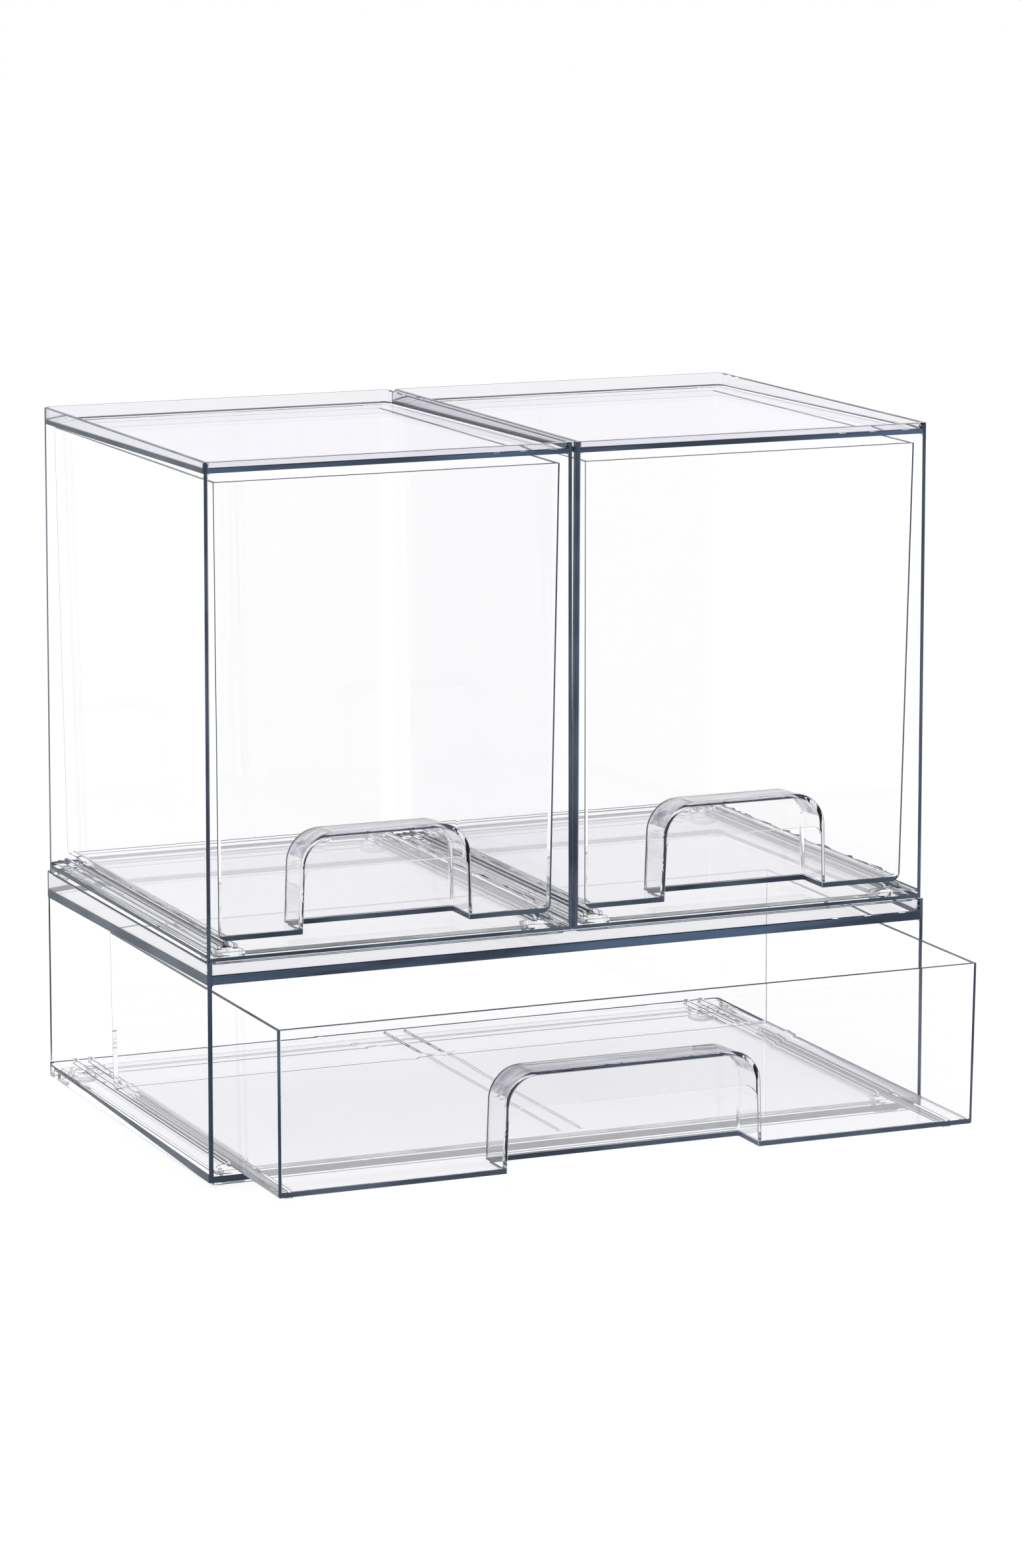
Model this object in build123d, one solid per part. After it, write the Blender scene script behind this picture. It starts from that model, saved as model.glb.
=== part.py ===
from build123d import *
from collections import namedtuple
import os

# Stacking makeup organizer of clear moulded plastic: one wide low casing with two tall narrow
# casings side by side on its rim. Each casing holds one pull-out drawer with a finger pull
# moulded into its front. Small clear pads sit under the corners of every casing.
#
# Frame, in millimetres: X to the right, Y from the front to the back, Z up. The origin is
# the centre of the whole set's footprint, with the lower drawer as far out as it stands
# here, at the height of the surface that the pads rest on.

# --- Lower casing ---
lower_width = 305.0
lower_depth = 190.7
lower_height = 85.9  # from the walls' bottom edge to the rim's top edge
lower_rim_height = 5.2  # how far the rim stands above the top panel at the front
lower_panel = 3.4  # thickness of the top panel at the front
lower_floor_level = 4.6  # top of the floor above the walls' bottom edge
lower_rail_offset = 14.0  # from the casing's side to the middle of a guide channel
lower_side_draft = 0.15  # each side leans in this much from bottom to top
lower_back_radius = 3.0  # upright back corners

# --- Upper casings ---
upper_height = 190.7
upper_rim_height = 2.5
upper_panel = 1.8
upper_floor_level = 3.4
upper_rail_offset = 10.5
upper_side_draft = 0.6
upper_back_radius = 4.0
stack_side_inset = 0.4  # upper casing's side behind the lower casing's side
stack_end_inset = 1.7  # upper casing's front and back inside the lower casing's
seam_gap = 0.4  # between the two upper casings, at the front

# --- Every casing ---
casing_wall = 1.8
casing_floor = 2.0
rim_wall = 2.0
panel_fall = 2.4  # mould draft: the top panel falls this far from front to back
panel_gain = 0.2  # and grows this much thinner at its lower face
front_corner_radius = 1.0
opening_corner_radius = 1.1
nest_clearance = 0.4  # between the ledge under a casing and the rim it stands in
ledge_depth = 1.6  # how far the ledge reaches below the walls' bottom edge
ledge_corner_radius = 2.0

# --- Guide rails on the casing floors ---
rail_width = 1.6
rail_height = 2.1
rail_front_setback = 5.0
rail_back_setback = 2.0
rail_nose_radius = 1.6
channel_clearance = 0.7  # between a drawer's runner and the rail on either side of it
centre_rib_spacing = 9.2
centre_rib_width = 1.2
centre_rib_height = 0.8

# --- Non-slip pads ---
pad_radius = 4.75
pad_proud = 0.5  # how far a pad stands out below the ledge
pad_seat_depth = 0.8
pad_seat_clearance = 0.1
pad_edge_radius = 0.3
pad_side_inset = 12.5  # from the casing's side to a pad's centre
pad_end_inset = 9.5  # from the casing's front or back to a pad's centre
boss_wall = 0.85  # ring of plastic round a pad's seat

# --- Drawers ---
drawer_wall = 1.5
drawer_floor = 2.0
drawer_setback = 2.0  # closed drawer's front behind the casing's front
drawer_back_gap = 1.0  # closed drawer's back in front of the casing's back wall
lower_drawer_height = 64.6
lower_drawer_side_gap = 4.6
lower_drawer_side_draft = 0.5
lower_drawer_end_draft = 1.0
lower_drawer_bottom_radius = 0.8
lower_drawer_inner_radius = 0.3
upper_drawer_height = 176.4
upper_drawer_side_gap = 3.3
upper_drawer_side_draft = 1.9
upper_drawer_end_draft = 3.5
upper_drawer_bottom_radius = 3.5
upper_drawer_inner_radius = 2.0
lower_drawer_open = 58.75  # how far the lower drawer stands out here

# --- Runners under the drawers ---
lower_runner_height = 2.4
lower_runner_setback = 7.5  # from the drawer's front to the front end of its runners
upper_runner_height = 2.8
upper_runner_setback = 1.5
runner_gap = 0.1  # running clearance between a runner and the casing floor
runner_stem_width = 2.0
runner_foot_width = 3.6
runner_foot_height = 0.5
runner_flare_height = 0.5
runner_back_setback = 9.5

# --- Finger pulls in the drawer fronts ---
lower_pull_width = 105.7
upper_pull_width = 69.0
lower_pull_depth = 18.0
upper_pull_depth = 17.2
pull_height = 37.4  # height of the hollow behind the lip
pull_fall = 0.8  # the hollow is this much lower at its back
pull_draft = 1.3  # each side of the hollow leans in this much from bottom to top
pull_opening_height = 25.0  # height of the opening below the lip
pull_crown_radius = 12.0
pull_corner_radius = 0.8  # rounding where the hollow's sides and top meet its back
lower_pull_opening_radius = 6.5
upper_pull_opening_radius = 4.0
pull_wall = 1.5

overcut = 1.0  # how far a cutting shape runs past the face that it opens

# --- Sizes that follow from the ones above ---
base_drop = ledge_depth + pad_proud
lower_base = base_drop
upper_base = lower_base + lower_height
upper_width = (lower_width - seam_gap) / 2 - stack_side_inset
upper_depth = lower_depth - 2 * stack_end_inset
upper_offset = (upper_width + seam_gap) / 2
ledge_inset = rim_wall + nest_clearance
boss_radius = pad_radius + boss_wall
channel_half = runner_foot_width / 2 + channel_clearance
front_reach = min(0.0, drawer_setback - lower_drawer_open)
origin_y = (front_reach + lower_depth) / 2
drawer_shortening = casing_wall + drawer_setback + drawer_back_gap
lower_drawer_width = lower_width - 2 * (casing_wall + lower_drawer_side_gap)
upper_drawer_width = upper_width - 2 * (casing_wall + upper_drawer_side_gap)

CasingSize = namedtuple(
    "CasingSize", "width depth height rim panel floor draft back_radius rail_x centre_ribs"
)
DrawerSize = namedtuple(
    "DrawerSize",
    "width depth height side_draft end_draft outer_radius inner_radius "
    "pull_width pull_depth pull_opening_radius runner_x runner_height runner_setback",
)

lower_casing_size = CasingSize(
    lower_width, lower_depth, lower_height, lower_rim_height, lower_panel, lower_floor_level,
    lower_side_draft, lower_back_radius, lower_width / 2 - lower_rail_offset, True,
)
upper_casing_size = CasingSize(
    upper_width, upper_depth, upper_height, upper_rim_height, upper_panel, upper_floor_level,
    upper_side_draft, upper_back_radius, upper_width / 2 - upper_rail_offset, False,
)
lower_drawer_size = DrawerSize(
    lower_drawer_width, lower_depth - drawer_shortening, lower_drawer_height,
    lower_drawer_side_draft, lower_drawer_end_draft,
    lower_drawer_bottom_radius, lower_drawer_inner_radius,
    lower_pull_width, lower_pull_depth, lower_pull_opening_radius,
    lower_casing_size.rail_x, lower_runner_height, lower_runner_setback,
)
upper_drawer_size = DrawerSize(
    upper_drawer_width, upper_depth - drawer_shortening, upper_drawer_height,
    upper_drawer_side_draft, upper_drawer_end_draft,
    upper_drawer_bottom_radius, upper_drawer_inner_radius,
    upper_pull_width, upper_pull_depth, upper_pull_opening_radius,
    upper_casing_size.rail_x, upper_runner_height, upper_runner_setback,
)


def flat_outline(level, half, front, back):
    """Rectangle at one height."""
    points = [(-half, front), (half, front), (half, back), (-half, back)]
    return Plane.XY.offset(level) * Polygon(*points, align=None)


def rounded_outline(level, half, front, back, front_radius, back_radius):
    """Rectangle at one height with its front and back corners rounded."""
    outline = flat_outline(level, half, front, back)
    outline = fillet(outline.vertices().sort_by(Axis.Y)[2:], back_radius)
    return fillet(outline.vertices().sort_by(Axis.Y)[:2], front_radius)


def upright_outline(y, half_low, half_high, low, high):
    """Symmetric four-sided outline in an upright plane."""
    points = [(-half_low, low), (half_low, low), (half_high, high), (-half_high, high)]
    return Plane.XZ.offset(-y) * Polygon(*points, align=None)


def casing_half(size, z):
    """Half width of a casing's outside at one height, with its draft."""
    return size.width / 2 - size.draft * z / size.height


def casing_form(size, inset, low, high, front_radius, back_radius):
    """Solid that follows the casing's outside at an inset, between two heights."""
    outlines = [
        rounded_outline(
            level, casing_half(size, level) - inset, inset, size.depth - inset,
            front_radius, back_radius,
        )
        for level in (low, high)
    ]
    return loft(outlines)


def cross_block(size, points):
    """Block right across a casing, from its outline seen from the side."""
    outline = Plane.YZ.offset(-size.width) * Polygon(*points, align=None)
    return extrude(outline, 2 * size.width, dir=(1, 0, 0))


def casing_cavity(size):
    """The hollow that the drawer slides in: open at the front, lower at the back."""
    front = -2 * overcut
    back = size.depth - casing_wall
    top = size.height - size.rim - size.panel
    levels = []
    for level in (size.floor, top + overcut):
        outline = flat_outline(level, casing_half(size, level) - casing_wall, front, back)
        back_corners = outline.vertices().sort_by(Axis.Y)[2:]
        levels.append(fillet(back_corners, size.back_radius - casing_wall))
    low = top - panel_fall + panel_gain
    above = cross_block(size, [
        (2 * front, top), (front, top), (back, low), (size.depth, low),
        (size.depth, top + 2 * overcut), (2 * front, top + 2 * overcut),
    ])
    hollow = loft(levels) - above
    faces = hollow.faces().sort_by(Axis.Z)
    edges = [e for e in faces[0].edges() + faces[-1].edges() if e.center().Y > 0]
    return fillet(edges, opening_corner_radius)


def rim_recess(size):
    """The shallow tray inside the rim, with a bottom that falls to the back."""
    panel_top = size.height - size.rim
    low = panel_top - panel_fall - overcut
    tray = casing_form(
        size, rim_wall, low, size.height + overcut, front_corner_radius, size.back_radius - rim_wall
    )
    return tray - cross_block(size, [
        (0, low - overcut), (size.depth, low - overcut),
        (size.depth, panel_top - panel_fall), (0, panel_top),
    ])


def guide_rail(size, x, width, height):
    """Straight rib along the casing floor, with its front end rounded down to the floor."""
    length = size.depth - casing_wall - rail_front_setback - rail_back_setback
    rail = Pos(x, rail_front_setback + length / 2, size.floor) * Box(width, length, 2 * height)
    nose = rail.edges().filter_by(Axis.X).group_by(Axis.Z)[-1].sort_by(Axis.Y)[0]
    return fillet(nose, min(rail_nose_radius, 0.9 * height))


def pad_places(size):
    """Centres of the four pads under a casing."""
    half = size.width / 2 - pad_side_inset
    rear = size.depth - pad_end_inset
    return {
        "front_left": (-half, pad_end_inset),
        "front_right": (half, pad_end_inset),
        "back_left": (-half, rear),
        "back_right": (half, rear),
    }


def casing(size):
    """One casing, its front at Y 0 and its walls' bottom edge at Z 0."""
    body = casing_form(size, 0, 0, size.height, front_corner_radius, size.back_radius)
    body += casing_form(
        size, ledge_inset, -ledge_depth, size.floor / 2, ledge_corner_radius, ledge_corner_radius
    )
    body -= casing_cavity(size)
    body -= rim_recess(size)
    pocket_radius = ledge_corner_radius / 2
    body -= casing_form(
        size, ledge_inset + casing_wall, -ledge_depth - overcut, size.floor - casing_floor,
        pocket_radius, pocket_radius,
    )
    boss_top = size.floor - casing_floor / 2
    below = (Align.CENTER, Align.CENTER, Align.MAX)
    for x, y in pad_places(size).values():
        boss = Pos(x, y, boss_top) * Cylinder(boss_radius, boss_top + ledge_depth, align=below)
        seat = Pos(x, y, pad_seat_depth - ledge_depth) * Cylinder(
            pad_radius + pad_seat_clearance, pad_seat_depth + overcut, align=below
        )
        body = body + boss - seat
    rail_shift = channel_half + rail_width / 2
    for side in (-1, 1):
        for shift in (-rail_shift, rail_shift):
            body += guide_rail(size, side * size.rail_x + shift, rail_width, rail_height)
        if size.centre_ribs:
            body += guide_rail(size, side * centre_rib_spacing / 2, centre_rib_width, centre_rib_height)
    return body


def pad():
    """Round clear pad, its top at Z 0 in the seat and its lower edge softened."""
    below = (Align.CENTER, Align.CENTER, Align.MAX)
    disc = Cylinder(pad_radius, pad_seat_depth + pad_proud, align=below)
    lower_edge = disc.edges().filter_by(GeomType.CIRCLE).sort_by(Axis.Z)[0]
    return fillet(lower_edge, pad_edge_radius)


def drawer_form(size, inset, low, high):
    """Solid that follows the drawer's outside at an inset, between two heights."""
    outlines = []
    for level in (low, high):
        lean = 1 - level / size.height
        half = size.width / 2 - size.side_draft * lean - inset
        front = size.end_draft * lean + inset
        outlines.append(flat_outline(level, half, front, size.depth - front))
    return loft(outlines)


def round_bottom(form, radius):
    """Round the two lower edges that run from front to back."""
    low_edges = form.edges().group_by(Axis.Z)[0].sort_by(Axis.X)
    return fillet([low_edges[0], low_edges[-1]], radius)


def pull_form(size, front, back, grow):
    """Arch-shaped solid of the finger pull's hollow, grown by a wall thickness."""
    ends = []
    for y, fall in ((front, 0.0), (back, pull_fall)):
        high = pull_height + grow - fall
        lean = pull_draft / pull_height
        half_low = size.pull_width / 2 + grow + lean * overcut
        half_high = size.pull_width / 2 + grow - lean * high
        arch = upright_outline(y, half_low, half_high, -overcut, high)
        ends.append(fillet(arch.vertices().sort_by(Axis.Z)[2:], pull_crown_radius + grow))
    form = loft(ends)
    back_face = form.faces().sort_by(Axis.Y)[-1]
    back_edges = [e for e in back_face.edges() if e.center().Z > 0]
    return fillet(back_edges, pull_corner_radius + grow)


def pull_opening(size):
    """Cutter for the opening in the drawer's front below the lip."""
    lean = pull_draft / pull_height
    half_low = size.pull_width / 2 + lean * overcut
    half_high = size.pull_width / 2 - lean * pull_opening_height
    opening = upright_outline(-overcut, half_low, half_high, -overcut, pull_opening_height)
    opening = fillet(opening.vertices().sort_by(Axis.Z)[2:], size.pull_opening_radius)
    return extrude(opening, size.end_draft + drawer_wall + 2 * overcut, dir=(0, 1, 0))


def runner(size, x):
    """Runner under the drawer floor: a stem on a wider foot."""
    front = size.end_draft + size.runner_setback
    length = size.depth - runner_back_setback - front
    stem = runner_stem_width / 2
    foot = runner_foot_width / 2
    sole = -size.runner_height
    knee = sole + runner_foot_height
    waist = knee + runner_flare_height
    points = [
        (-stem, drawer_floor / 2), (-stem, waist), (-foot, knee), (-foot, sole),
        (foot, sole), (foot, knee), (stem, waist), (stem, drawer_floor / 2),
    ]
    section = Plane.XZ.offset(-front) * Polygon(*points, align=None)
    return Pos(x, 0, 0) * extrude(section, length, dir=(0, 1, 0))


def drawer(size):
    """One drawer, its front's top edge at Y 0 and its floor's underside at Z 0."""
    outside = round_bottom(drawer_form(size, 0, 0, size.height), size.outer_radius)
    inside = drawer_form(size, drawer_wall, drawer_floor, size.height + overcut)
    behind_front = drawer_form(size, drawer_wall, -2 * overcut, size.height)
    hollow_back = size.end_draft + size.pull_depth
    body = outside - round_bottom(inside, size.inner_radius)
    body += pull_form(size, 0, hollow_back + pull_wall, pull_wall) & outside
    body -= pull_form(size, 0, hollow_back, 0) & behind_front
    body -= pull_opening(size)
    for side in (-1, 1):
        body += runner(size, side * size.runner_x)
    return body


def save(shape, name):
    shape.label = name
    export_step(shape, f"parts/{name}.step")


def save_casing(name, size, shape, place):
    """Write one casing and the four pads in its seats."""
    save(place * shape, name)
    for corner, (x, y) in pad_places(size).items():
        save(place * Pos(x, y, pad_seat_depth - ledge_depth) * pad(), f"{name}_foot_{corner}")


def drawer_rise(casing_size, drawer_size):
    """Height of a drawer's underside above the walls' bottom edge of its casing."""
    return casing_size.floor + runner_gap + drawer_size.runner_height


def lower_parts():
    """The wide casing and its drawer, drawn out."""
    place = Pos(0, -origin_y, lower_base)
    save_casing("lower_casing", lower_casing_size, casing(lower_casing_size), place)
    rise = drawer_rise(lower_casing_size, lower_drawer_size)
    out = Pos(0, drawer_setback - lower_drawer_open, rise)
    save(place * out * drawer(lower_drawer_size), "lower_drawer")


def upper_parts():
    """The two tall casings and their drawers, closed."""
    shell = casing(upper_casing_size)
    tray = drawer(upper_drawer_size)
    rise = drawer_rise(upper_casing_size, upper_drawer_size)
    for side, x in (("left", -upper_offset), ("right", upper_offset)):
        place = Pos(x, stack_end_inset - origin_y, upper_base)
        save_casing(f"upper_{side}_casing", upper_casing_size, shell, place)
        save(place * Pos(0, drawer_setback, rise) * tray, f"upper_{side}_drawer")


os.makedirs("parts", exist_ok=True)
lower_parts()
upper_parts()
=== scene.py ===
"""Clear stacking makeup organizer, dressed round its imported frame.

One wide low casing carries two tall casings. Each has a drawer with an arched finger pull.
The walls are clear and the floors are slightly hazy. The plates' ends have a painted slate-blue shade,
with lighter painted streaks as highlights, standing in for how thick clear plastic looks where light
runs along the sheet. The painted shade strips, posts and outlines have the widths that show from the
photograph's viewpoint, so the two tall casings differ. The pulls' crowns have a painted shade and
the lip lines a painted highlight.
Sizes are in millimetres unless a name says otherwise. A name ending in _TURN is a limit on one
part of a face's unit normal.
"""

import math
from collections import namedtuple

import bmesh
import bpy
from mathutils import Matrix, Vector
from mathutils.bvhtree import BVHTree


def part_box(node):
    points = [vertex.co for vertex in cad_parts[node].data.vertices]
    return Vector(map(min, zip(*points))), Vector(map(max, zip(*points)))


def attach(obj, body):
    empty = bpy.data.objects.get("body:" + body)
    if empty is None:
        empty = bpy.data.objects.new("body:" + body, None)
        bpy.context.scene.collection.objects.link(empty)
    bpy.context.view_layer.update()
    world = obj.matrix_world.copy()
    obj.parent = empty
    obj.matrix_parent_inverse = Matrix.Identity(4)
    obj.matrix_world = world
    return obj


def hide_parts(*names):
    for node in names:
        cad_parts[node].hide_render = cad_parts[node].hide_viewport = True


bl_info = {
    "name": "Clear Makeup Organizer",
    "version": (1, 0, 0),
    "blender": (4, 5, 0),
    "location": "3D View > Sidebar > Organizer",
    "description": "Clear moulded organizer with three drawers and slate-blue edges",
    "category": "Object",
}

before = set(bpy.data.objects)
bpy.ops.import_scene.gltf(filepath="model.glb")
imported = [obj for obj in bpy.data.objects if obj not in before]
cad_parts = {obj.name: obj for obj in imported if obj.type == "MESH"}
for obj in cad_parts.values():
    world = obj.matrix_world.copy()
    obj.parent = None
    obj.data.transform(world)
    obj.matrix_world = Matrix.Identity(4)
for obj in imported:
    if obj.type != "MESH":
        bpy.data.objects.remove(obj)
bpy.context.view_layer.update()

MM = 0.001
CORNERS = ("front_left", "front_right", "back_left", "back_right")

# Moulded sizes that the looks follow, the same as the frame's. A casing's floor_band is the painted
# shade band's lowest and highest point at the front, then at the back. A drawer's strips are the
# widths of the painted shade strips up the left and the right end of its front.
CasingSize = namedtuple("CasingSize", "rim panel floor draft back_radius floor_band")
TALL_CASING = CasingSize(2.5, 1.8, 3.4, 0.6, 4.0, ((1.5, 2.9), (1.9, 3.6)))
CASINGS = {
    "lower_casing": CasingSize(5.2, 3.4, 4.6, 0.15, 3.0, ((0.0, 3.5), (4.4, 5.2))),
    "upper_left_casing": TALL_CASING,
    "upper_right_casing": TALL_CASING,
}
DrawerSize = namedtuple("DrawerSize", "rise side_draft end_draft pull_width pull_depth strips")
TALL_DRAWER = DrawerSize(2.8, 1.9, 3.5, 69.0, 17.2, (0.3, 0.75))
DRAWERS = {
    "lower_drawer": DrawerSize(2.4, 0.5, 1.0, 105.7, 18.0, (1.2, 1.15)),
    "upper_left_drawer": TALL_DRAWER,
    "upper_right_drawer": TALL_DRAWER,
}
PLATE = 2.0  # floors
CASING_WALL = 1.8
DRAWER_WALL = 1.5
LEDGE_DROP = 1.6
PANEL_FALL = 2.4
PANEL_GAIN = 0.2
PULL_HEIGHT = 37.4
LIP_HEIGHT = 25.0
LIP_REACH = 0.3
FRONT_RADIUS = 1.0  # a casing's front corners

# Painted shade strips on the casings' sides, slate like the plates' painted ends
LEFT_SHADE_POST = 1.5  # up the front end of a tall casing's left wall
SEAM_SHADE_STRIP = 2.8  # up the right casing's left side, behind its front
BACK_SHADE_STRIP = 1.3  # up the left casing's left side, before its back corner
LEDGE_SHADE_SIDE = 3.5  # how far in a tall casing's ledge is dark

# How places on a moulding are told apart
NEAR = 0.2  # how close to a surface a face counts as lying on it
SLACK = 0.02  # how far past a cut a face may lie
SNAP = 0.03  # how near a cut takes a corner that is already there
STRAY = 0.02  # how far off the moulding's surface a rounding's corner may lie
ABOVE_FLOOR = 5.0  # a level face higher than this over a casing's floor is its top panel
BACK_REACH = 8.0  # how far before a casing's back its corners are taken to begin
WALL_SLACK = 0.5  # how far past a wall a rounding on it may lie
INNER_SIDE = 1.0  # farther inside the outer skin than this is a wall's inner side
LEDGE_INNER = 4.0  # the same for the ledge
UNDER_PANEL = 1.5  # how far under a top panel its inner corner's rounding may lie
LEVEL_TURN = 0.9  # a face this square to an axis belongs to a plate across it
UPRIGHT_TURN = 0.5
SIDE_TURN = 0.7
CORNER_TURN = 0.03

MERGE_ANGLE = math.radians(0.4)  # faces this near to one plane become one
SHARP_ANGLE = math.radians(28)  # edges sharper than this are rounded
SMOOTH_ANGLE = math.radians(25)  # edges sharper than this stay hard in the shading

LOW_BEND = 1.02  # refraction of the panels, floors and sides, less than the walls', so they stay plain
LOW_BEND_COAT = 0.2  # gloss coat on those
FLOOR_CLEAR = 0.78  # share of a floor that is clear, the rest is haze
LAMP_PASS = 0.995  # share of a lamp's light that passes each clear surface
PLATE_END_GLOSS = 0.12
RIPPLE_SIZE, RIPPLE_STRENGTH, RIPPLE_HEIGHT = 9.0, 0.01, 0.5

# The order of the materials on every moulding. The slate edge, beam and line materials are painted
# shade, the soft line a painted soft shade, the white line a painted highlight, and the crown is
# clear with a painted shade
NAMES = (
    "clear_wall", "clear_drawer_wall", "clear_drawer_side", "clear_panel", "clear_floor", "clear_rim",
    "clear_pull_crown_painted_shade", "clear_side", "painted_shade_edge", "painted_shade_beam", "painted_shade_line", "painted_soft_shade_line",
    "painted_highlight_line",
)
(
    WALL, TRAY_WALL, TRAY_SIDE, PANEL, FLOOR, RIM, SHADED_CROWN, SIDE, SHADE_EDGE, SHADE_BEAM, SHADE_LINE, SOFT_SHADE_LINE, HIGHLIGHT_LINE,
) = range(len(NAMES))


# --- What a user would change ---


def colour(name, description, default):
    """A colour that the sidebar shows."""
    return bpy.props.FloatVectorProperty(
        name=name, description=description, subtype="COLOR",
        size=3, min=0.0, max=1.0, default=default,
    )


class OrganizerPlastic(bpy.types.PropertyGroup):
    """The clear plastic, and the painted shade and painted highlights on its edges."""

    wall_tint: colour("Wall Tint", "Light that has passed a casing's wall", (0.996, 0.996, 0.998))
    tray_tint: colour("Drawer Tint", "Light that has passed a front or back", (0.965, 0.965, 0.968))
    side_tint: colour("Drawer Side Tint", "Light that has passed a drawer's side", (0.988, 0.988, 0.99))
    panel_tint: colour("Panel Tint", "Light that has passed a top panel", (0.905, 0.895, 0.95))
    floor_tint: colour("Floor Tint", "Light that has passed a floor", (0.982, 0.974, 1.0))
    rim_tint: colour("Rim Tint", "Light that has passed a rim", (0.845, 0.84, 0.87))
    # The crown's tint is a painted shade, not the plastic's own colour
    crown_shade_tint: colour("Crown Tint", "Light that has passed a pull's crown", (0.74, 0.73, 0.8))
    # Painted slate shade on plates' ends and edge lines, standing in for light running along clear
    # plastic; the lighter colours are painted highlight streaks
    edge_shade_colour: colour("Edge Colour", "Colour of a plate's end", (0.04, 0.053, 0.084))
    edge_highlight_colour: colour("Light Edge Colour", "Lighter streaks along a plate's end", (0.095, 0.12, 0.175))
    beam_highlight_colour: colour("Light Beam Colour", "Blue streaks along a panel's end", (0.088, 0.14, 0.235))
    line_shade_colour: colour("Line Colour", "Fine line along a sharp edge", (0.052, 0.061, 0.08))
    soft_shade_colour: colour("Soft Line Colour", "Fine line along an inner edge", (0.35, 0.36, 0.395))
    refraction: bpy.props.FloatProperty(
        name="Refraction", description="How strongly the plastic bends light",
        min=1.0, max=2.0, default=1.49,
    )
    gloss: bpy.props.FloatProperty(
        name="Gloss", description="Share of a plain clear plastic's gloss that the walls keep",
        subtype="FACTOR", min=0.0, max=1.0, default=0.35,
    )
    edge_round: bpy.props.FloatProperty(
        name="Edge Round", description="Width of the rounding along sharp edges",
        subtype="DISTANCE", unit="LENGTH", min=0.0, max=0.001, default=0.2 * MM,
    )


class OrganizerPads(bpy.types.PropertyGroup):
    """The non-slip pads."""

    pad_colour: colour("Pad Colour", "Colour of the clear soft pads", (0.86, 0.88, 0.91))


class OrganizerStage(bpy.types.PropertyGroup):
    """Floor, lamps and background."""

    floor_colour: colour("Floor Colour", "Colour of the floor", (0.95, 0.95, 0.95))
    floor_size: bpy.props.FloatProperty(
        name="Floor Size", description="Side of the square floor",
        subtype="DISTANCE", unit="LENGTH", min=1.0, default=12.0,
    )
    floor_glow: bpy.props.FloatProperty(
        name="Floor Glow", description="How bright the floor's background part looks",
        min=0.0, max=2.0, default=1.08,
    )
    sky_level: bpy.props.FloatProperty(
        name="Sky Level", description="Strength of the even light from all round",
        min=0.0, max=2.0, default=0.7,
    )
    lamp_level: bpy.props.FloatProperty(
        name="Lamp Level", description="Strength of the main soft lamp", min=0.0, default=1.05,
    )


# --- Materials ---


def fresh_material(name):
    """An empty node material and its tree."""
    material = bpy.data.materials.new(name)
    material.use_nodes = True
    material.node_tree.nodes.clear()
    return material, material.node_tree


def link(tree, source, output, target, slot):
    tree.links.new(source.outputs[output], target.inputs[slot])


def greatest(tree, source, *outputs):
    """The greatest of a node's outputs."""
    value = source.outputs[outputs[0]]
    for name in outputs[1:]:
        larger = tree.nodes.new("ShaderNodeMath")
        larger.operation = "MAXIMUM"
        tree.links.new(value, larger.inputs[0])
        tree.links.new(source.outputs[name], larger.inputs[1])
        value = larger.outputs["Value"]
    return value


def choose(tree, share, first, second):
    """A shader that goes from the first to the second as share goes from 0 to 1."""
    mixed = tree.nodes.new("ShaderNodeMixShader")
    tree.links.new(share, mixed.inputs["Fac"])
    tree.links.new(first.outputs[0], mixed.inputs[1])
    tree.links.new(second.outputs[0], mixed.inputs[2])
    return mixed


def finish_tree(tree, shader, kind="ShaderNodeOutputMaterial"):
    output = tree.nodes.new(kind)
    tree.links.new(shader.outputs[0], output.inputs["Surface"])


def noise(tree, scale, detail, stretch=(1.0, 1.0, 1.0)):
    """Noise over the object's own coordinates."""
    place = tree.nodes.new("ShaderNodeTexCoord")
    sizing = tree.nodes.new("ShaderNodeMapping")
    sizing.inputs["Scale"].default_value = stretch
    pattern = tree.nodes.new("ShaderNodeTexNoise")
    pattern.inputs["Scale"].default_value = scale
    pattern.inputs["Detail"].default_value = detail
    link(tree, place, "Object", sizing, "Vector")
    link(tree, sizing, "Vector", pattern, "Vector")
    return pattern


def spread(tree, pattern, low, high):
    """Map a pattern's middle range onto low to high."""
    mapped = tree.nodes.new("ShaderNodeMapRange")
    mapped.inputs["From Min"].default_value = 0.35
    mapped.inputs["From Max"].default_value = 0.65
    mapped.inputs["To Min"].default_value = low
    mapped.inputs["To Max"].default_value = high
    link(tree, pattern, "Fac", mapped, "Value")
    return mapped


def shades(tree, pattern, first, second):
    """Two colours, the first where the pattern is low."""
    ramp = tree.nodes.new("ShaderNodeValToRGB")
    for element, position, shade in zip(ramp.color_ramp.elements, (0.42, 0.62), (first, second)):
        element.position = position
        element.color = (*shade, 1.0)
    link(tree, pattern, "Fac", ramp, "Fac")
    return ramp


def bump(tree, body, pattern, strength, height):
    """Raise a surface by a pattern. The height is in millimetres."""
    raised = tree.nodes.new("ShaderNodeBump")
    raised.inputs["Strength"].default_value = strength
    raised.inputs["Distance"].default_value = height * MM
    link(tree, pattern, "Fac", raised, "Height")
    link(tree, raised, "Normal", body, "Normal")


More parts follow.
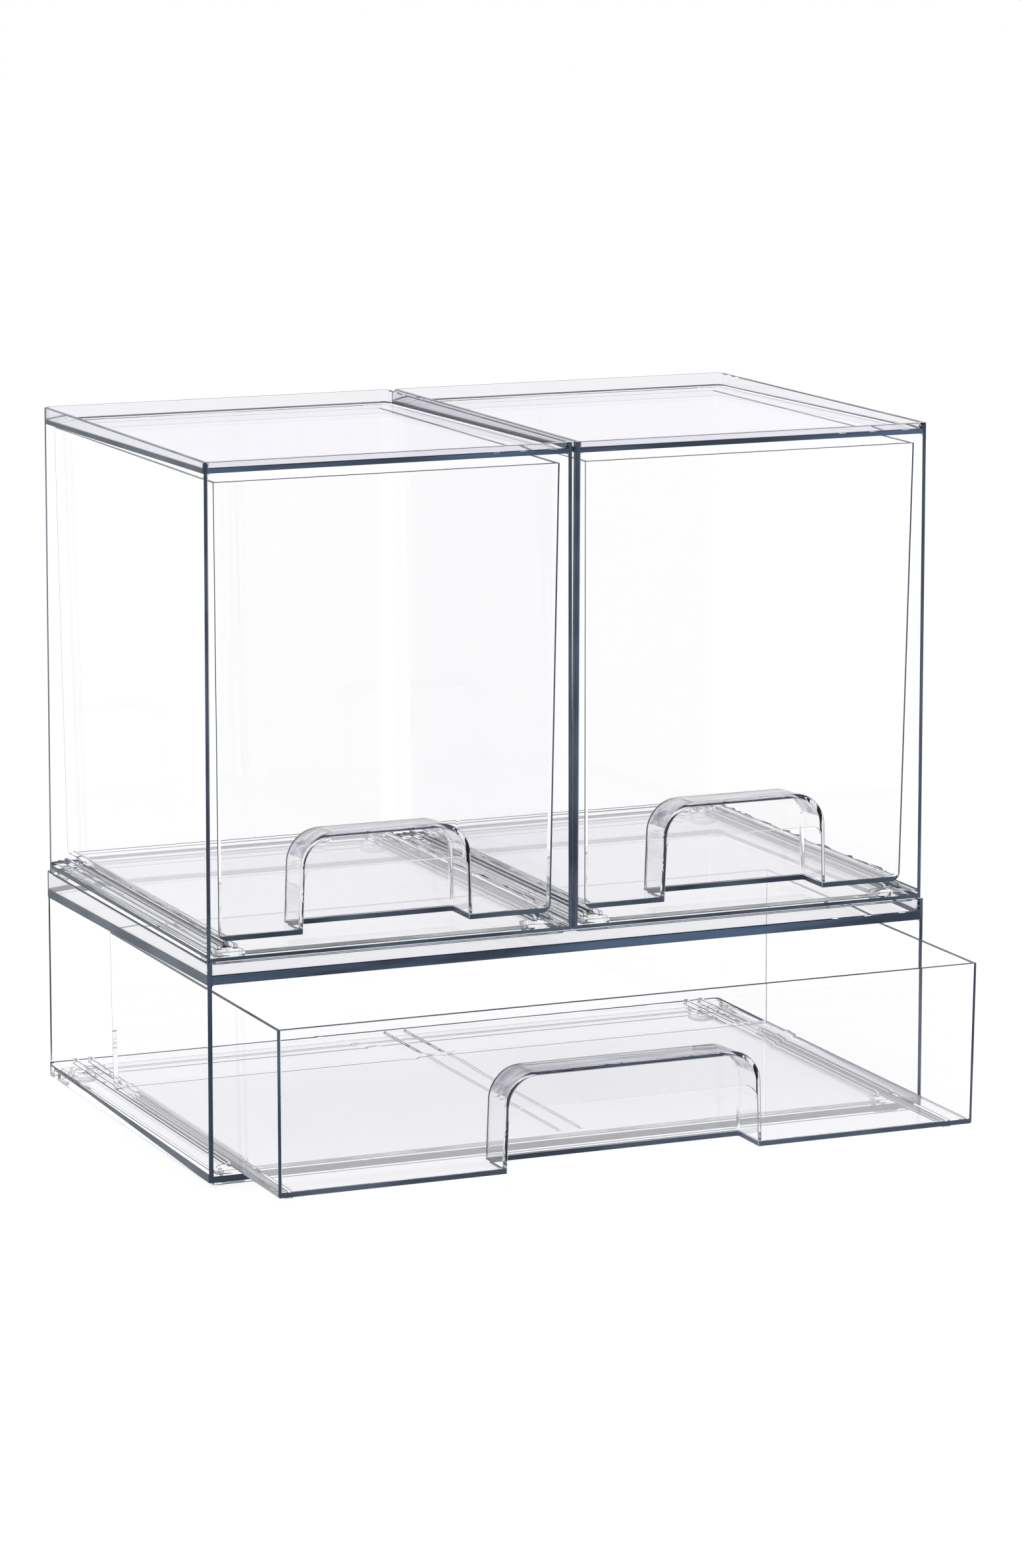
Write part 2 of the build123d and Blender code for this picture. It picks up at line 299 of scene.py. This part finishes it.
def clear_plastic(name, tint, clear=1.0, bend=None, shade_streak_tint=None):
    """Polished clear plastic with a faint mould ripple. Lamps shine through it."""
    finish = bpy.context.scene.organizer_plastic
    material, tree = fresh_material(name)
    body = tree.nodes.new("ShaderNodeBsdfPrincipled")
    body.inputs["Base Color"].default_value = (*tint, 1.0)
    body.inputs["Transmission Weight"].default_value = clear
    body.inputs["IOR"].default_value = bend or finish.refraction
    body.inputs["Specular Tint"].default_value = (*[finish.gloss] * 3, 1.0)
    if bend:
        body.inputs["Coat Weight"].default_value = LOW_BEND_COAT
    # Darker painted shade streaks, used on the pull's crown
    if shade_streak_tint:
        streaks = noise(tree, 260.0, 3.0, (0.12, 1.0, 1.0))
        link(tree, shades(tree, streaks, tint, shade_streak_tint), "Color", body, "Base Color")
    polish = spread(tree, noise(tree, 30.0, 3.0), 0.0, 0.012)
    link(tree, polish, "Result", body, "Roughness")
    bump(tree, body, noise(tree, RIPPLE_SIZE, 1.0), RIPPLE_STRENGTH, RIPPLE_HEIGHT)
    passing = tree.nodes.new("ShaderNodeBsdfTransparent")
    passing.inputs["Color"].default_value = (*[LAMP_PASS] * 3, 1.0)
    path = tree.nodes.new("ShaderNodeLightPath")
    lamp_ray = greatest(tree, path, "Is Shadow Ray", "Is Diffuse Ray")
    finish_tree(tree, choose(tree, lamp_ray, body, passing))
    return material


def painted_edge_light(name, deep, light, scale, stretch=(1.0, 1.0, 1.0)):
    """A plate's end or an edge with painted light: a slate-blue painted shade with soft lighter painted
    streaks along it as highlights, or a white painted highlight.
    """
    material, tree = fresh_material(name)
    body = tree.nodes.new("ShaderNodeBsdfPrincipled")
    body.inputs["Specular IOR Level"].default_value = PLATE_END_GLOSS
    streaks = noise(tree, scale, 2.0, stretch)
    link(tree, shades(tree, streaks, deep, light), "Color", body, "Base Color")
    polish = noise(tree, 60.0, 2.0)
    link(tree, spread(tree, polish, 0.12, 0.24), "Result", body, "Roughness")
    bump(tree, body, polish, 0.05, 0.1)
    finish_tree(tree, body)
    return material


def mould_materials():
    """The materials of every moulding, made once, in the order of their names."""
    made = [bpy.data.materials.get(name) for name in NAMES]
    if all(made):
        return made
    finish = bpy.context.scene.organizer_plastic
    deep, light, line = finish.edge_shade_colour, finish.edge_highlight_colour, finish.line_shade_colour
    soft, crown = finish.soft_shade_colour, finish.crown_shade_tint
    return [
        clear_plastic(NAMES[WALL], finish.wall_tint),
        clear_plastic(NAMES[TRAY_WALL], finish.tray_tint),
        clear_plastic(NAMES[TRAY_SIDE], finish.side_tint, bend=LOW_BEND),
        clear_plastic(NAMES[PANEL], finish.panel_tint, bend=LOW_BEND),
        clear_plastic(NAMES[FLOOR], finish.floor_tint, clear=FLOOR_CLEAR, bend=LOW_BEND),
        clear_plastic(NAMES[RIM], finish.rim_tint),
        # The pull's crown: clear, with a painted shade and darker painted shade streaks
        clear_plastic(NAMES[SHADED_CROWN], crown, shade_streak_tint=[0.5 * part for part in crown]),
        clear_plastic(NAMES[SIDE], finish.wall_tint, bend=LOW_BEND),
        # Painted slate shade on plates' ends, panels' ends and sharp edges with lighter painted
        # highlight streaks; painted soft shade on inner edges; painted highlight lines
        painted_edge_light(NAMES[SHADE_EDGE], deep, light, 22.0),
        painted_edge_light(NAMES[SHADE_BEAM], deep, finish.beam_highlight_colour, 30.0, (0.35, 1.0, 4.0)),
        painted_edge_light(NAMES[SHADE_LINE], line, light, 40.0),
        painted_edge_light(NAMES[SOFT_SHADE_LINE], soft, [1.2 * part for part in soft], 40.0),
        painted_edge_light(NAMES[HIGHLIGHT_LINE], (0.9, 0.9, 0.92), (1.0, 1.0, 1.0), 40.0),
    ]


# --- Meshes ---


class Moulding:
    """A moulding's place and size. Its own coordinates start at the middle of its front."""

    def __init__(self, node, size, rise):
        low, high = (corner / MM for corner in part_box(node))
        self.size = size
        self.place = Vector(((low.x + high.x) / 2, low.y, low.z + rise))
        self.depth = high.y - low.y
        self.half = (high.x - low.x) / 2
        self.height = high.z - self.place.z

    def local(self, point):
        return point / MM - self.place

    def world(self, x, y, z):
        return (Vector((x, y, z)) + self.place) * MM


class Casing(Moulding):
    """Where a casing's surfaces lie. Its heights start at the walls' bottom edge."""

    def __init__(self, node):
        super().__init__(node, CASINGS[node], LEDGE_DROP)
        self.tall = self.size is TALL_CASING
        self.panel_top = self.height - self.size.rim
        self.panel_under = self.panel_top - self.size.panel
        self.back_shade_strip_front = self.depth - self.size.back_radius - BACK_SHADE_STRIP

    def half_at(self, z):
        return self.half - self.size.draft * z / self.height

    def beside_seam(self, point):
        """Whether a point lies on the side where the two tall casings stand together."""
        return self.tall and point.x * self.place.x < 0

    def on_left_back_shade_strip(self, point):
        """Whether a point lies on the painted shade strip before the left casing's left back corner."""
        at_left = self.tall and self.place.x < 0 and point.x < 0
        return at_left and point.y > self.back_shade_strip_front

    def shade_post_at(self, x):
        """Width of the painted shade post up the front end of the side wall at x."""
        return LEFT_SHADE_POST if self.tall and x < 0 else CASING_WALL

    def depth_inside(self, point):
        """How far a point lies inside the outside skin."""
        radius = self.size.back_radius if point.y > self.depth / 2 else FRONT_RADIUS
        across = abs(point.x) - (self.half_at(point.z) - radius)
        along = abs(point.y - self.depth / 2) - (self.depth / 2 - radius)
        outside = math.hypot(max(across, 0), max(along, 0)) + min(max(across, along), 0)
        return radius - outside

    def panel_top_at(self, y):
        return self.panel_top - PANEL_FALL * y / self.depth

    def panel_under_at(self, y):
        return self.panel_under - (PANEL_FALL - PANEL_GAIN) * y / self.depth

    def floor_band_at(self, y):
        """Lowest and highest point of the painted shade band along the floor's side ends."""
        (low_front, high_front), (low_back, high_back) = self.size.floor_band
        share = y / self.depth
        return (
            low_front + (low_back - low_front) * share,
            high_front + (high_back - high_front) * share,
        )


class Drawer(Moulding):
    """Where a drawer's surfaces lie. Its heights start at the floor's underside."""

    def __init__(self, node):
        super().__init__(node, DRAWERS[node], DRAWERS[node].rise)
        self.tall = self.size is TALL_DRAWER
        self.pull_half = self.size.pull_width / 2
        self.pull_back = self.size.end_draft + self.size.pull_depth

    def half_at(self, z):
        return self.half - self.size.side_draft * (1 - z / self.height)

    def front_at(self, z):
        return self.size.end_draft * (1 - z / self.height)

    def on_front(self, point, normal):
        return normal.y < -LEVEL_TURN and abs(point.y - self.front_at(point.z)) < NEAR

    def near_pull(self, point):
        """Whether a point lies on the finger pull's hood, outside or inside."""
        reach = DRAWER_WALL + NEAR
        return (
            abs(point.x) < self.pull_half + reach
            and self.front_at(point.z) - NEAR < point.y < self.pull_back + reach
            and point.z < PULL_HEIGHT + reach
        )

    def in_quiet_corner(self, point):
        """Whether a point lies at one of the back corners that hardly show."""
        return (
            self.tall
            and (point.x > 0 or self.place.x > 0)
            and abs(point.x) > self.half_at(point.z) - DRAWER_WALL - NEAR
            and point.y > self.depth - self.front_at(point.z) - DRAWER_WALL - NEAR
        )


def cut(mesh, faces, point, normal):
    """Split the given faces along a plane, in the same order each run."""
    geometry = dict.fromkeys(faces)
    for face in faces:
        geometry.update(dict.fromkeys(face.edges))
        geometry.update(dict.fromkeys(face.verts))
    bmesh.ops.bisect_plane(
        mesh, geom=list(geometry), dist=SNAP * MM, plane_co=point, plane_no=normal
    )


def cut_between(mesh, faces, form, ends):
    """Split faces along the plane through two points of the side view, (y, z) each."""
    (y1, z1), (y2, z2) = ends
    normal = Vector((0, z1 - z2, y2 - y1)).normalized()
    cut(mesh, faces, form.world(0, y1, z1), normal)


def rounded(node):
    """The CAD node's mesh, its flat areas merged and its sharp edges rounded.

    The roundings have the painted shade line's material, and all other faces the first one.
    """
    mesh = bmesh.new()
    mesh.from_mesh(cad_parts[node].data)
    bmesh.ops.remove_doubles(mesh, verts=mesh.verts, dist=1e-6)
    bmesh.ops.dissolve_limit(
        mesh, angle_limit=MERGE_ANGLE, verts=mesh.verts, edges=mesh.edges
    )
    for face in mesh.faces:
        face.material_index = WALL
    sharp = [
        edge for edge in mesh.edges
        if edge.is_manifold and abs(edge.calc_face_angle(0.0)) > SHARP_ANGLE
    ]
    skin = BVHTree.FromBMesh(mesh)
    bmesh.ops.bevel(
        mesh, geom=sharp, offset=bpy.context.scene.organizer_plastic.edge_round,
        offset_type="OFFSET", segments=1, profile=0.5, affect="EDGES", clamp_overlap=False,
        material=SHADE_LINE,
    )
    for corner in mesh.verts:
        nearest, _, _, distance = skin.find_nearest(corner.co)
        if distance > STRAY * MM:
            corner.co = nearest
    return mesh


def plain_faces(mesh, form, belongs):
    """The faces that aren't roundings and that belong, by their middle and normal."""
    return [
        face for face in mesh.faces
        if face.material_index == WALL
        and belongs(form.local(face.calc_center_median()), face.normal)
    ]


def give_finish(mesh, form, finish_for, line_for):
    """Give each face its material, and each rounding its own."""
    for face in mesh.faces:
        chosen = line_for if face.material_index == SHADE_LINE else finish_for
        face.material_index = chosen(form, form.local(face.calc_center_median()), face.normal)


def finish_piece(mesh, name, node):
    """Turn the mesh into the piece that stands for its CAD node."""
    data = bpy.data.meshes.new(name)
    used = sorted({face.material_index for face in mesh.faces})
    for face in mesh.faces:
        face.material_index = used.index(face.material_index)
    materials = mould_materials()
    for index in used:
        data.materials.append(materials[index])
    mesh.to_mesh(data)
    mesh.free()
    data.polygons.foreach_set("use_smooth", [True] * len(data.polygons))
    data.set_sharp_from_angle(angle=SMOOTH_ANGLE)
    piece = bpy.data.objects.new(name, data)
    bpy.context.scene.collection.objects.link(piece)
    flatten = piece.modifiers.new("flat_areas_stay_flat", "WEIGHTED_NORMAL")
    flatten.weight = 100
    flatten.keep_sharp = True
    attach(piece, node)
    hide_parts(node)
    return piece


def casing_finish(form, point, normal):
    """Which material a casing's face has: a clear finish, or the painted slate shade of a plate's end.
    """
    up = abs(normal.z)
    under, top = form.panel_under_at(point.y), form.panel_top_at(point.y)
    at_panel = under - SLACK < point.z < top + SLACK
    if point.z > form.height - NEAR:
        return RIM if point.y < CASING_WALL else SHADE_LINE
    if up > LEVEL_TURN:
        if point.z > form.size.floor + ABOVE_FLOOR:
            return PANEL if form.tall else SIDE
        return FLOOR if point.z > NEAR else WALL
    # The tall casings' ledge sides get a painted slate shade
    if point.z < -NEAR:
        ledge_side = abs(normal.x) > UPRIGHT_TURN and abs(point.x) > form.half - LEDGE_SHADE_SIDE
        return SHADE_EDGE if ledge_side and form.tall else WALL
    on_skin = form.depth_inside(point) < NEAR
    # A front corner's facets count as front, with the painted slate shade of a plate's end, as far
    # round as they look dark
    front_turn = -0.1 if form.beside_seam(point) else -0.7 if form.tall and point.x < 0 else -0.4
    if normal.y < front_turn and on_skin:
        if abs(point.x) > form.half_at(point.z) - form.shade_post_at(point.x) - 0.05:
            return SHADE_EDGE
        if at_panel:
            return SHADE_BEAM
        return SHADE_EDGE if point.z < form.size.floor - PLATE + SLACK else RIM
    # Painted slate shade on the panel's end, the seam strip, the left back strip and the floor's band
    if on_skin and at_panel:
        return SHADE_EDGE
    if on_skin and point.y < SEAM_SHADE_STRIP and point.x < 0 and form.beside_seam(point):
        return SHADE_EDGE
    if on_skin and form.on_left_back_shade_strip(point) and normal.y < UPRIGHT_TURN:
        return SHADE_EDGE
    if on_skin and point.z < form.size.floor + PLATE:
        low, high = form.floor_band_at(point.y)
        return SHADE_EDGE if low - SLACK < point.z < high + SLACK else WALL
    if point.z > top - SLACK:
        return RIM
    near_back = point.y > form.depth - BACK_REACH
    at_corner = near_back and min(abs(normal.x), abs(normal.y)) > CORNER_TURN
    return SIDE if (form.tall and at_corner) or abs(normal.x) > SIDE_TURN else WALL


def casing_line(form, point, normal):
    """Which material the rounding along a casing's edge has: a painted shade line, a painted soft shade
    line or a clear finish.
    """
    inside = form.depth_inside(point)
    in_recess = form.panel_top_at(point.y) + 1.0 > point.z > form.panel_under_at(point.y)
    if in_recess and inside > INNER_SIDE:
        return SHADE_LINE if point.x > 0 and form.beside_seam(point) else SOFT_SHADE_LINE
    in_niche_top = point.z > form.panel_under_at(point.y) - UNDER_PANEL
    if form.tall and inside > INNER_SIDE and in_niche_top:
        return SIDE
    if point.z < -NEAR and inside > LEDGE_INNER:
        return SOFT_SHADE_LINE
    at_front = point.y < INNER_SIDE and inside < INNER_SIDE
    between_walls = abs(point.x) < form.half - CASING_WALL - WALL_SLACK
    if at_front and between_walls and NEAR < point.z < form.size.floor + WALL_SLACK:
        return SOFT_SHADE_LINE
    return SHADE_LINE


def dress_casing(node):
    """Casing: clear walls, hazy floor, lilac top panel, plate ends with a painted slate shade."""
    mesh = rounded(node)
    form = Casing(node)
    back = form.depth

    def skin(belongs):
        return plain_faces(mesh, form, lambda point, normal: (
            abs(normal.z) < UPRIGHT_TURN and form.depth_inside(point) < NEAR and belongs(normal)
        ))

    def front():
        return skin(lambda normal: normal.y < -LEVEL_TURN)

    def left():
        return skin(lambda normal: normal.x < -LEVEL_TURN)

    # The cuts below mark out the painted shade: the panel's end, the floor's band, the front posts and
    # the tall casings' side strips
    for height_at in (form.panel_top_at, form.panel_under_at):
        ends = ((0, height_at(0)), (back, height_at(back)))
        cut_between(mesh, skin(lambda normal: True), form, ends)
    for limit in (0, 1):
        ends = ((0, form.floor_band_at(0)[limit]), (back, form.floor_band_at(back)[limit]))
        cut_between(mesh, skin(lambda normal: normal.y > -LEVEL_TURN), form, ends)
    for level in (form.size.floor, form.size.floor - PLATE):
        cut_between(mesh, front(), form, ((0, level), (back, level)))
    for side in (-1, 1):
        lean = Vector((side, 0, form.size.draft / form.height)).normalized()
        inner_end = form.world(side * (form.half - form.shade_post_at(side)), 0, 0)
        cut(mesh, front(), inner_end, lean)
    if form.tall:
        strip_end = SEAM_SHADE_STRIP if form.place.x > 0 else form.back_shade_strip_front
        cut(mesh, left(), form.world(0, strip_end, 0), Vector((0, 1, 0)))
    rim_top = plain_faces(mesh, form, lambda point, normal: point.z > form.height - NEAR)
    cut(mesh, rim_top, form.world(0, CASING_WALL, 0), Vector((0, 1, 0)))

    give_finish(mesh, form, casing_finish, casing_line)
    return finish_piece(mesh, node + "_shell", node)


def drawer_finish(form, point, normal):
    """Which material a drawer's face has: a clear finish, a crown with a painted shade, or the painted
    slate shade of a plate's end.
    """
    up = abs(normal.z)
    in_floor = -SLACK < point.z < PLATE + SLACK
    if form.on_front(point, normal):
        # Painted slate shade strips up the front's ends and along the floor's end, painted soft shade
        # on the right tall drawer's left strip
        strip = form.size.strips[point.x > 0]
        if in_floor:
            return SHADE_EDGE
        if abs(point.x) > form.half_at(point.z) - strip - SLACK:
            return SOFT_SHADE_LINE if point.x < 0 and form.tall and form.place.x > 0 else SHADE_EDGE
        return TRAY_WALL
    if normal.z > LEVEL_TURN and point.z > form.height - NEAR:
        return SHADE_LINE
    if in_floor and up < UPRIGHT_TURN:
        return SHADE_EDGE
    if up > LEVEL_TURN and -0.3 < point.z < PLATE + 0.3:
        return FLOOR
    if form.near_pull(point):
        # The facets of the hood's outer rounding that are seen edge-on get a painted slate shade
        outer_round = point.y > form.pull_back - 0.9
        left_facet = normal.x < -0.5 and 0.15 < normal.y < 0.65
        top_facet = normal.z > 0.5 and 0.3 < normal.y < 0.75
        if outer_round and (left_facet or top_facet):
            return SHADE_EDGE
        # The crown gets a painted shade
        if up > 0.3 and point.z > LIP_HEIGHT + 1.0:
            return SHADED_CROWN
        return TRAY_WALL
    return TRAY_SIDE if abs(normal.x) > SIDE_TURN else TRAY_WALL


def drawer_line(form, point, normal):
    """Which material the rounding along a drawer's edge has: a painted shade line, a painted soft shade
    line, a painted highlight line or a clear finish.
    """
    back_wall = form.depth - form.front_at(point.z) - point.y < DRAWER_WALL + WALL_SLACK
    front_wall = point.y - form.front_at(point.z) < DRAWER_WALL + WALL_SLACK
    side = form.half_at(point.z) - abs(point.x)
    inner_corner = INNER_SIDE < side < DRAWER_WALL + WALL_SLACK
    if form.near_pull(point) and point.z > PLATE + NEAR:
        # Painted highlight lines along the lip and along the pull's left edge below it
        lip = abs(point.z - LIP_HEIGHT) < LIP_REACH and front_wall
        if lip or (front_wall and point.x < 0 and point.z < LIP_HEIGHT):
            return HIGHLIGHT_LINE
        return SHADE_LINE if point.y > form.pull_back and (point.x < 0 or normal.z > 0.3) else SOFT_SHADE_LINE
    if point.z > form.height - NEAR:
        return TRAY_WALL if back_wall and form.tall else SHADE_LINE
    if point.z > PLATE + WALL_SLACK and (back_wall or front_wall):
        return TRAY_SIDE if inner_corner or form.in_quiet_corner(point) else SHADE_LINE
    if NEAR < point.z < PLATE + WALL_SLACK and (front_wall or back_wall) and side > INNER_SIDE:
        return TRAY_WALL
    return SHADE_LINE


def dress_drawer(node):
    """Drawer: clear walls, hazy floor, a painted slate shade on the top edges and the floor edge."""
    mesh = rounded(node)
    form = Drawer(node)

    def front():
        return plain_faces(mesh, form, form.on_front)

    floor_top = form.world(0, 0, PLATE)
    # The cuts below mark out the painted shade strips up the front's ends and along the floor's end
    cut(mesh, front(), floor_top, Vector((0, 0, 1)))
    for side in (-1, 1):
        lean = Vector((side, 0, -form.size.side_draft / form.height)).normalized()
        strip = form.size.strips[side > 0]
        cut(mesh, front(), form.world(side * (form.half_at(0) - strip), 0, 0), lean)
    hood = plain_faces(mesh, form, lambda point, normal: (
        abs(normal.z) < UPRIGHT_TURN and form.near_pull(point)
    ))
    cut(mesh, hood, floor_top, Vector((0, 0, 1)))
    # Without this the face round the pull's arch is filled across the arch
    behind_front = plain_faces(mesh, form, lambda point, normal: (
        normal.y > LEVEL_TURN and form.near_pull(point)
    ))
    bmesh.ops.connect_verts_concave(mesh, faces=behind_front)
    give_finish(mesh, form, drawer_finish, drawer_line)
    return finish_piece(mesh, node + "_tray", node)


def pad_material():
    """Clear soft plastic, slightly frosted."""
    made = bpy.data.materials.get("clear_pad")
    if made:
        return made
    material, tree = fresh_material("clear_pad")
    body = tree.nodes.new("ShaderNodeBsdfPrincipled")
    body.inputs["Base Color"].default_value = (*bpy.context.scene.organizer_pads.pad_colour, 1.0)
    body.inputs["Transmission Weight"].default_value = 0.7
    body.inputs["IOR"].default_value = 1.41
    grain = noise(tree, 900.0, 4.0)
    link(tree, spread(tree, grain, 0.3, 0.45), "Result", body, "Roughness")
    bump(tree, body, grain, 0.15, 0.2)
    finish_tree(tree, body)
    return material


def dress_pads(casing):
    """Soft clear pads: the CAD discs with a frosted finish."""
    for corner in CORNERS:
        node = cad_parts[f"{casing}_foot_{corner}"]
        node.data.materials.clear()
        node.data.materials.append(pad_material())


# --- Stage ---

CAMERA_GLOW = 0.75  # share of the floor that glows where the camera sees it, the rest has shadow
THROUGH_GLOW = 0.9  # the same through and in the plastic
HIGH_SKY = (0.1, 0.12, 0.16, 1.0)  # what gloss shows of the sky overhead
HIGH_SKY_FROM, HIGH_SKY_AT = 0.36, 0.5
BOUNCES, CLEAR_BOUNCES, LAMP_BOUNCES = 40, 32, 48

# The photograph's viewpoint, in degrees, radians for the roll, and metres
CAMERA_TURN, CAMERA_RISE, CAMERA_ROLL = -22.6, 10.97, -0.002
CAMERA_PLACE = (-0.86706, -2.00631, 0.55095)
CAMERA_LENS, CAMERA_SHIFT = 128.36, (0.0498, 0.0107)


def add_floor(stage):
    """Plain pale floor. It looks white and keeps the organizer's shadow."""
    mesh = bmesh.new()
    bmesh.ops.create_grid(mesh, x_segments=1, y_segments=1, size=stage.floor_size / 2)
    data = bpy.data.meshes.new("floor")
    mesh.to_mesh(data)
    mesh.free()
    floor = bpy.data.objects.new("floor", data)
    bpy.context.scene.collection.objects.link(floor)
    material, tree = fresh_material("pale_floor")
    matte = tree.nodes.new("ShaderNodeBsdfDiffuse")
    matte.inputs["Color"].default_value = (*stage.floor_colour, 1.0)
    glow = tree.nodes.new("ShaderNodeEmission")
    glow.inputs["Strength"].default_value = stage.floor_glow
    path = tree.nodes.new("ShaderNodeLightPath")
    through = tree.nodes.new("ShaderNodeMath")
    through.operation = "MULTIPLY"
    through.inputs[1].default_value = THROUGH_GLOW
    tree.links.new(greatest(tree, path, "Is Glossy Ray", "Is Transmission Ray"), through.inputs[0])
    share = tree.nodes.new("ShaderNodeMath")
    share.operation = "MULTIPLY_ADD"
    share.inputs[1].default_value = CAMERA_GLOW
    link(tree, path, "Is Camera Ray", share, 0)
    tree.links.new(through.outputs["Value"], share.inputs[2])
    finish_tree(tree, choose(tree, share.outputs["Value"], matte, glow))
    data.materials.append(material)


def add_sky(stage):
    """Even light from all round. It is white where it is seen, and darker overhead in gloss."""
    world = bpy.data.worlds.new("studio")
    bpy.context.scene.world = world
    world.use_nodes = True
    tree = world.node_tree
    tree.nodes.clear()
    light = tree.nodes.new("ShaderNodeBackground")
    light.inputs["Strength"].default_value = stage.sky_level
    seen = tree.nodes.new("ShaderNodeBackground")
    place = tree.nodes.new("ShaderNodeTexCoord")
    parts = tree.nodes.new("ShaderNodeSeparateXYZ")
    link(tree, place, "Generated", parts, "Vector")
    overhead = tree.nodes.new("ShaderNodeValToRGB")
    overhead.color_ramp.elements[0].position = HIGH_SKY_FROM
    overhead.color_ramp.elements[0].color = (1.0, 1.0, 1.0, 1.0)
    overhead.color_ramp.elements[1].position = HIGH_SKY_AT
    overhead.color_ramp.elements[1].color = HIGH_SKY
    link(tree, parts, "Z", overhead, "Fac")
    path = tree.nodes.new("ShaderNodeLightPath")
    white = tree.nodes.new("ShaderNodeMix")
    white.data_type = "RGBA"
    link(tree, path, "Is Camera Ray", white, 0)
    tree.links.new(overhead.outputs["Color"], white.inputs[6])
    white.inputs[7].default_value = (1.0, 1.0, 1.0, 1.0)
    tree.links.new(white.outputs[2], seen.inputs["Color"])
    through = greatest(tree, path, "Is Camera Ray", "Is Glossy Ray", "Is Transmission Ray")
    finish_tree(tree, choose(tree, through, light, seen), "ShaderNodeOutputWorld")


def add_lamp(name, direction, spread_angle, strength):
    """Large soft lamp, the same all over the floor."""
    lamp = bpy.data.lights.new(name, "SUN")
    lamp.angle = math.radians(spread_angle)
    lamp.energy = strength
    holder = bpy.data.objects.new(name, lamp)
    holder.location = Vector(direction)
    holder.rotation_mode = "QUATERNION"
    holder.rotation_quaternion = Vector(direction).to_track_quat("Z", "Y")
    bpy.context.scene.collection.objects.link(holder)


def add_camera():
    """The photograph's viewpoint."""
    turn, rise, roll = math.radians(CAMERA_TURN), math.radians(CAMERA_RISE), CAMERA_ROLL
    back = Vector((
        math.sin(turn) * math.cos(rise), -math.cos(turn) * math.cos(rise), math.sin(rise)
    ))
    right = Vector((0, 0, 1)).cross(back).normalized()
    up = back.cross(right)
    rolled_right = math.cos(roll) * right + math.sin(roll) * up
    rolled_up = math.cos(roll) * up - math.sin(roll) * right
    data = bpy.data.cameras.new("camera")
    data.sensor_width = 36.0
    data.lens = CAMERA_LENS
    data.shift_x, data.shift_y = CAMERA_SHIFT
    data.clip_start = 0.05
    data.clip_end = 60.0
    camera = bpy.data.objects.new("camera", data)
    bpy.context.scene.collection.objects.link(camera)
    axes = Matrix((rolled_right, rolled_up, back)).transposed().to_4x4()
    camera.matrix_world = Matrix.Translation(CAMERA_PLACE) @ axes
    bpy.context.scene.camera = camera


# --- Operators ---


class ORGANIZER_OT_casings(bpy.types.Operator):
    """Build the wide low casing and the two tall casings"""

    bl_idname = "organizer.casings"
    bl_label = "Casings"

    def execute(self, context):
        for node in CASINGS:
            dress_casing(node)
        return {"FINISHED"}


class ORGANIZER_OT_drawers(bpy.types.Operator):
    """Build the three drawers with their finger pulls"""

    bl_idname = "organizer.drawers"
    bl_label = "Drawers"

    def execute(self, context):
        for node in DRAWERS:
            dress_drawer(node)
        return {"FINISHED"}


class ORGANIZER_OT_pads(bpy.types.Operator):
    """Finish the clear pads under the casings"""

    bl_idname = "organizer.pads"
    bl_label = "Pads"

    def execute(self, context):
        for casing in CASINGS:
            dress_pads(casing)
        return {"FINISHED"}


class ORGANIZER_OT_stage(bpy.types.Operator):
    """Set up the floor, the soft light and the camera"""

    bl_idname = "organizer.stage"
    bl_label = "Stage"

    def execute(self, context):
        stage = context.scene.organizer_stage
        context.scene.view_settings.view_transform = "Standard"
        context.scene.cycles.transmission_bounces = CLEAR_BOUNCES
        context.scene.cycles.max_bounces = BOUNCES
        context.scene.cycles.transparent_max_bounces = LAMP_BOUNCES
        add_floor(stage)
        add_sky(stage)
        add_lamp("key_lamp", (-1.2, -1.0, 2.2), 50, stage.lamp_level)
        add_lamp("fill_lamp", (1.4, 1.2, 2.0), 60, stage.lamp_level / 2)
        add_camera()
        return {"FINISHED"}


class ORGANIZER_PT_panel(bpy.types.Panel):
    """Shows the organizer's build buttons and its settings"""

    bl_label = "Makeup Organizer"
    bl_idname = "ORGANIZER_PT_panel"
    bl_space_type = "VIEW_3D"
    bl_region_type = "UI"
    bl_category = "Organizer"

    def draw(self, context):
        for operator in OPERATORS:
            self.layout.operator(operator.bl_idname)
        for group in (
            context.scene.organizer_plastic,
            context.scene.organizer_pads,
            context.scene.organizer_stage,
        ):
            box = self.layout.box()
            for name in group.__annotations__:
                box.prop(group, name)


OPERATORS = (
    ORGANIZER_OT_casings,
    ORGANIZER_OT_drawers,
    ORGANIZER_OT_pads,
    ORGANIZER_OT_stage,
)
CLASSES = (OrganizerPlastic, OrganizerPads, OrganizerStage, *OPERATORS, ORGANIZER_PT_panel)


def register():
    for cls in CLASSES:
        bpy.utils.register_class(cls)
    bpy.types.Scene.organizer_plastic = bpy.props.PointerProperty(type=OrganizerPlastic)
    bpy.types.Scene.organizer_pads = bpy.props.PointerProperty(type=OrganizerPads)
    bpy.types.Scene.organizer_stage = bpy.props.PointerProperty(type=OrganizerStage)


def unregister():
    del bpy.types.Scene.organizer_stage
    del bpy.types.Scene.organizer_pads
    del bpy.types.Scene.organizer_plastic
    for cls in reversed(CLASSES):
        bpy.utils.unregister_class(cls)


def main():
    register()
    bpy.ops.organizer.casings()
    bpy.ops.organizer.drawers()
    bpy.ops.organizer.pads()
    bpy.ops.organizer.stage()


if __name__ == "__main__":
    main()
